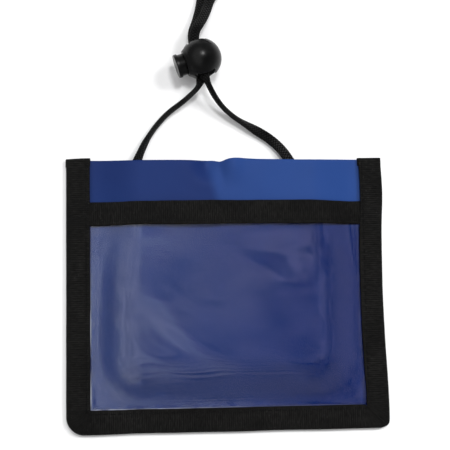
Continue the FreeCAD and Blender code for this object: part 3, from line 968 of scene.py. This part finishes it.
def edge_bow(place):
    """The sewn edges aren't dead straight: the right side bows out, in and out again towards the foot."""
    x, y = place
    out = wander(x, y, 19 * MM, 11.5) * 0.22 * MM
    if x > INNER_SIDE:
        out += 0.55 * MM * bump_at(y - 40 * MM, 11 * MM)
        out -= 0.50 * MM * bump_at(y - 3 * MM, 24 * MM)
        near_foot = 1 - ease(pouch_low.y + 6 * MM, pouch_low.y + 38 * MM, y)
        out += 0.75 * MM * near_foot * ease(pouch_low.y, pouch_low.y + 0.6 * RIGHT_CORNER_RADIUS, y)
    return out


def mitre_fold(place, corner_x):
    """The tape's own fold across a corner, from the inner corner outwards."""
    x, y = place
    inner = Vector((corner_x, INNER_FOOT))
    outward = Vector((math.copysign(1, corner_x), -1)).normalized()
    offset = Vector((x, y)) - inner
    along = offset.dot(outward)
    aside = offset.dot(Vector((-outward.y, outward.x)))
    if along < 0.3 * MM:
        return 0.0
    step = 0.26 * MM * ease(-0.5 * MM, 0.35 * MM, aside) * bump_at(max(aside, 0.0), 5 * MM)
    groove = -0.22 * MM * bump_at(aside + 0.5 * MM, 0.45 * MM)
    rim = min(HALF_WIDTH - abs(x), y - pouch_low.y)
    return (step + groove) * ease(0.3 * MM, 2.5 * MM, along) * ease(0.3 * MM, 2.2 * MM, rim)


def make_edge_tape():
    """One tape folded round both sides and the closed end, with a mitre fold at each corner."""
    half = EDGE_TAPE_THICKNESS / 2
    front_z, back_z = pouch_high.z - half, pouch_low.z + half
    middle_z = (front_z + back_z) / 2
    fold_radius = (front_z - back_z) / 2
    turn_in = fold_radius + half
    leg = EDGE_TAPE_SHOWS - turn_in
    fold = math.pi * fold_radius
    across_total = 2 * leg + fold
    length = tape_course_length()
    row = EDGE_TAPE_SHOWS - ROW_INSET

    def lay(across, along):
        outer, inner = tape_course(along * length)
        way = across * across_total
        front = way < leg
        if front:
            inset, z = EDGE_TAPE_SHOWS - way, front_z
        elif way < leg + fold:
            turn = (way - leg) / fold * math.pi
            inset = turn_in - fold_radius * math.sin(turn)
            z = middle_z + fold_radius * math.cos(turn)
        else:
            inset, z = turn_in + way - leg - fold, back_z
        flat = outer.lerp(inner, inset / EDGE_TAPE_SHOWS)
        away = (outer - inner).normalized()
        flat += away * edge_bow(outer)
        if inset > leg * 0.8:
            flat += away * (wander(flat.x, flat.y, 9 * MM, 3.3) * 0.16 * MM)
        if front or z > middle_z:
            puff = math.sin(math.pi * min(max(inset / row, 0.0), 1.0))
            z += 0.16 * MM * puff * (1 + 0.5 * wander(flat.x, flat.y, 12 * MM, 1.9))
            z -= 0.14 * MM * bump_at(inset - row, 0.7 * MM)
            z += wander(flat.x, flat.y, 5 * MM, 6.2) * 0.06 * MM
            z += mitre_fold(flat, INNER_SIDE) + mitre_fold(flat, -INNER_SIDE) * 0.8
        else:
            z += 0.17 * MM * bump_at(inset - row, 0.55 * MM)
        return Vector((flat.x, flat.y, z))

    shape = cut_flat(34, 470, across_total, length, lay)
    bmesh.ops.remove_doubles(shape, verts=shape.verts, dist=0.003 * MM)
    bmesh.ops.recalc_face_normals(shape, faces=shape.faces)
    tape = give_wall(add_piece("edge_tape", shape, black_tape), EDGE_TAPE_THICKNESS)
    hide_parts("edge_binding")


def turned_end(name, centre_x, lean):
    """The tape's cut end, turned back once on itself at the mouth."""
    width = EDGE_TAPE_SHOWS + 0.2 * MM
    reach = 2.6 * MM
    fold_radius = 0.45 * MM
    fold = math.pi * fold_radius
    total = 2 * reach + fold
    top = pouch_high.y

    def lay(across, along):
        x = centre_x + (across - 0.5) * width
        way = along * total
        slant = lean * (across - 0.5)
        if way < reach:
            y, z = top - reach + way, 0.0
        elif way < reach + fold:
            turn = (way - reach) / fold * math.pi
            y, z = top + fold_radius * math.sin(turn), fold_radius * (1 - math.cos(turn))
        else:
            y, z = top + reach + fold - way, 2 * fold_radius
        drop = 0.25 * MM * ease(0.85, 1.0, abs(2 * across - 1))
        wave = wander(x, way, 4 * MM, 5.5) * 0.08 * MM
        return Vector((x, y + slant + wave, 1.0 * MM + z - drop))

    shape = cut_flat(16, 22, width, total, lay)
    bmesh.ops.recalc_face_normals(shape, faces=shape.faces)
    give_wall(add_piece(name, shape, black_tape), EDGE_TAPE_THICKNESS * 0.8)


# --- Stitches, bar tacks and closure ---------------------------------------

def sew(shape, place, heading, tilt):
    """One stitch: a short rounded length of thread."""
    turn = Matrix.Rotation(math.atan2(heading.y, heading.x), 4, "Z") @ Matrix.Rotation(tilt, 4, "Y")
    size = Matrix.Diagonal((STITCH_LENGTH / 2, STITCH_WIDTH / 2, STITCH_HEIGHT / 2, 1))
    bmesh.ops.create_uvsphere(shape, u_segments=8, v_segments=6, radius=1.0,
                              matrix=Matrix.Translation(place) @ turn @ size)


def sew_row(shape, start, end, height_at, rng):
    """A straight row of even stitches from start to end, laid on a surface."""
    run = end - start
    count = max(1, round(run.length / STITCH_PITCH))
    heading = run.normalized()
    aside = Vector((-heading.y, heading.x))
    for step in range(count):
        spot = start + run * ((step + 0.5) / count)
        before, after = spot - heading * STITCH_LENGTH / 2, spot + heading * STITCH_LENGTH / 2
        climb = height_at(after.x, after.y) - height_at(before.x, before.y)
        spot = spot + aside * rng.uniform(-0.05, 0.05) * MM
        leaning = heading + aside * rng.uniform(-0.04, 0.04)
        sew(shape, Vector((spot.x, spot.y, height_at(spot.x, spot.y))), leaning,
            -math.atan2(climb, STITCH_LENGTH))


def sew_round(shape, low, high, half_width, height, rng):
    """The row round both sides and the closed end."""
    left, right, foot = low.x + half_width, high.x - half_width, low.y + half_width
    top = high.y - 1.0 * MM
    turns = [Vector(turn) for turn in ((left, top), (left, foot), (right, foot), (right, top))]
    for start, end in zip(turns, turns[1:]):
        sew_row(shape, start, end, lambda x, y: height, rng)


def make_stitches():
    """The seams' four rows: front and back of the edge tape, and both faces of the window tape."""
    rng = random.Random(41)
    edge_front = bmesh.new()
    sew_round(edge_front, edge_row_low, edge_row_high, 0.25 * MM, pouch_high.z - 0.08 * MM, rng)
    piece = add_piece("edge_stitches_front", edge_front, black_thread)
    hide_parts("edge_stitch_front")

    edge_back = bmesh.new()
    sew_round(edge_back, back_row_low, back_row_high, 0.20 * MM, pouch_low.z + 0.135 * MM, rng)
    piece = add_piece("edge_stitches_back", edge_back, black_thread)
    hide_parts("edge_stitch_back")

    row_y = (window_row_low.y + window_row_high.y) / 2

    def over(x, y):
        return 2.36 * MM + FILM_RISE * rise(x, y)

    def under(x, y):
        return 1.28 * MM + FILM_RISE * rise(x, y)

    window_front = bmesh.new()
    sew_row(window_front, Vector((window_row_low.x, row_y)), Vector((window_row_high.x, row_y)), over, rng)
    piece = add_piece("window_stitches_front", window_front, black_thread)
    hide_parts("window_stitch_front")

    hidden_low, hidden_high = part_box("window_stitch_back")
    window_back = bmesh.new()
    sew_row(window_back, Vector((hidden_low.x, row_y)), Vector((hidden_high.x, row_y)), under, rng)
    piece = add_piece("window_stitches_back", window_back, black_thread)
    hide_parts("window_stitch_back")


def make_bar_tack(name, node, route):
    """Close threads over the flat cord's end, down into the back cloth on both sides."""
    start, ahead = Vector(route[0]) * MM, Vector(route[1]) * MM
    heading = ahead - start
    heading.z = 0
    heading.normalize()
    aside = Vector((-heading.y, heading.x, 0))
    foot = back_high.z
    crest = start.z + CORD_THICKNESS / 2 + 0.16 * MM
    shape = bmesh.new()
    threads = 8
    for number in range(threads):
        shift = (number - (threads - 1) / 2) * 0.31 * MM
        middle = start + heading * (3.0 * MM + shift)
        skew = 0.22 * MM * (1 if number % 2 else -1)
        arch = [(-3.0, foot), (-2.75, foot + 1.5 * MM), (-1.9, crest), (0, crest + 0.05 * MM), (1.9, crest),
                (2.75, foot + 1.5 * MM), (3.0, foot)]
        points = []
        for out, z in arch:
            spot = middle + aside * (out * MM) + heading * (skew * out / 3.0)
            points.append((spot.x / MM, spot.y / MM, z / MM))
        places, total = even_steps(route_line("thread", points), 0.35 * MM)
        strand = tube_along(places, total, 0.36 * MM, 0.34 * MM, 8)
        part = bpy.data.meshes.new("strand")
        strand.to_mesh(part)
        strand.free()
        shape.from_mesh(part)
        bpy.data.meshes.remove(part)
    piece = add_piece(name, shape, black_thread)
    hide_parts(node)


def make_hook_square():
    """Closure square on the back cloth: a flat base with rows of small hooks."""
    size = hook_high - hook_low
    middle = (hook_low + hook_high) / 2
    base_height = 0.45 * MM
    shape = bmesh.new()
    base = Matrix.Translation((middle.x, middle.y, hook_low.z + base_height / 2))
    base = base @ Matrix.Diagonal((size.x, size.y, base_height, 1))
    bmesh.ops.create_cube(shape, size=1.0, matrix=base)
    bmesh.ops.bevel(shape, geom=shape.edges[:], offset=0.12 * MM, offset_type="OFFSET", segments=2,
                    profile=0.5, affect="EDGES", material=-1)
    rows = 13
    rng = random.Random(5)
    for across in range(rows):
        for along in range(rows):
            x = hook_low.x + size.x * (across + 0.5) / rows + rng.uniform(-0.1, 0.1) * MM
            y = hook_low.y + size.y * (along + 0.5) / rows
            stem = (hook_high.z - hook_low.z - base_height) * rng.uniform(0.85, 1.0)
            lean = Matrix.Rotation(rng.choice((-0.35, 0.35)), 4, "Y")
            place = Matrix.Translation((x, y, hook_low.z + base_height + stem * 0.42)) @ lean
            bmesh.ops.create_cone(shape, cap_ends=True, segments=6, radius1=0.20 * MM, radius2=0.13 * MM,
                                  depth=stem, matrix=place)
            head = place @ Matrix.Translation((0.12 * MM, 0, stem * 0.42))
            bmesh.ops.create_icosphere(shape, subdivisions=1, radius=0.2 * MM,
                                       matrix=head @ Matrix.Diagonal((1.6, 1.0, 0.7, 1)))
    piece = add_piece("hook_square", shape, hook_nap)
    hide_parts("hook_patch")


def make_loop_square():
    """Closure square under the front cloth: a thin base with a soft uneven nap, facing down."""
    width, length = loop_high.x - loop_low.x, loop_high.y - loop_low.y
    thickness = 0.7 * MM

    def lay(across, along):
        x = loop_low.x + width * across
        y = loop_low.y + length * along
        nap = (0.14 + 0.14 * wander(x, y, 0.9 * MM, 1.1)) * MM
        return Vector((x, y, cloth_height(x, y) - (CLOTH_THICKNESS + thickness) / 2 - nap))

    shape = cut_flat(50, 50, width, length, lay)
    square = give_wall(add_piece("loop_square", shape, loop_nap), thickness)
    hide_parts("loop_patch")


# --- Cord lock -------------------------------------------------------------

def smooth_copy(node, name, finish, body, round_over):
    """A merged copy of a CAD node's mesh, with its sharp edges softened."""
    shape = bmesh.new()
    shape.from_mesh(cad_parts[node].data)
    bmesh.ops.remove_doubles(shape, verts=shape.verts, dist=0.0005 * MM)
    bmesh.ops.dissolve_limit(shape, angle_limit=math.radians(0.5), verts=shape.verts, edges=shape.edges)
    if round_over:
        sharp = [e for e in shape.edges if e.is_manifold and e.calc_face_angle(0) > SHARP_EDGE]
        bmesh.ops.bevel(shape, geom=sharp, offset=round_over, offset_type="OFFSET", segments=2,
                        profile=0.5, affect="EDGES", material=-1, clamp_overlap=True)
    piece = add_piece(name, shape, finish, body)
    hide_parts(node)
    return piece


def make_lock():
    """The ball, its button, and the spring that the button squashes."""
    smooth_copy("lock_body", "lock_ball", black_plastic, "lock", 0.18 * MM)
    smooth_copy("lock_plunger", "lock_button", black_plastic, "plunger", 0.30 * MM)
    spring = smooth_copy("lock_spring", "return_spring", steel_wire, "lock", 0)
    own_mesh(spring)


# --- The whole scene -------------------------------------------------------

make_camera()
make_floor()
make_room_light()
hang_lamp("lamp_above", (0.10, 0.33, 0.94), 0.95, 0.18, 3.9)
hang_lamp("lamp_right", (0.56, 0.36, 0.75), 1.0, 0.36, 5.8, shines=False)
blue_nylon = make_nylon()
black_tape = make_binding()
black_braid = make_braid()
black_thread = make_thread()
black_plastic = make_plastic()
steel_wire = make_steel()
clear_vinyl = make_vinyl()
seam_highlight_vinyl = make_seam_highlight_vinyl()
hook_nap = make_pile("black_hook_tape", (0.004, 0.004, 0.005), (0.016, 0.016, 0.018), 0.0009, 0.0005)
loop_nap = make_pile("black_loop_tape", (0.006, 0.006, 0.007), (0.018, 0.018, 0.019), 0.0005, 0.0003)
make_cords()
make_front_cloth()
make_back_cloth()
make_window_film()
make_seam_highlight_bead()
make_window_tape()
make_edge_tape()
turned_end("left_tape_end", -HALF_WIDTH + EDGE_TAPE_SHOWS / 2, 0.5 * MM)
turned_end("right_tape_end", HALF_WIDTH - EDGE_TAPE_SHOWS / 2, 0.1 * MM)
make_stitches()
make_bar_tack("tack_threads_left", "bar_tack_left", LEFT_ROUTE)
make_bar_tack("tack_threads_right", "bar_tack_right", RIGHT_ROUTE)
make_hook_square()
make_loop_square()
make_lock()
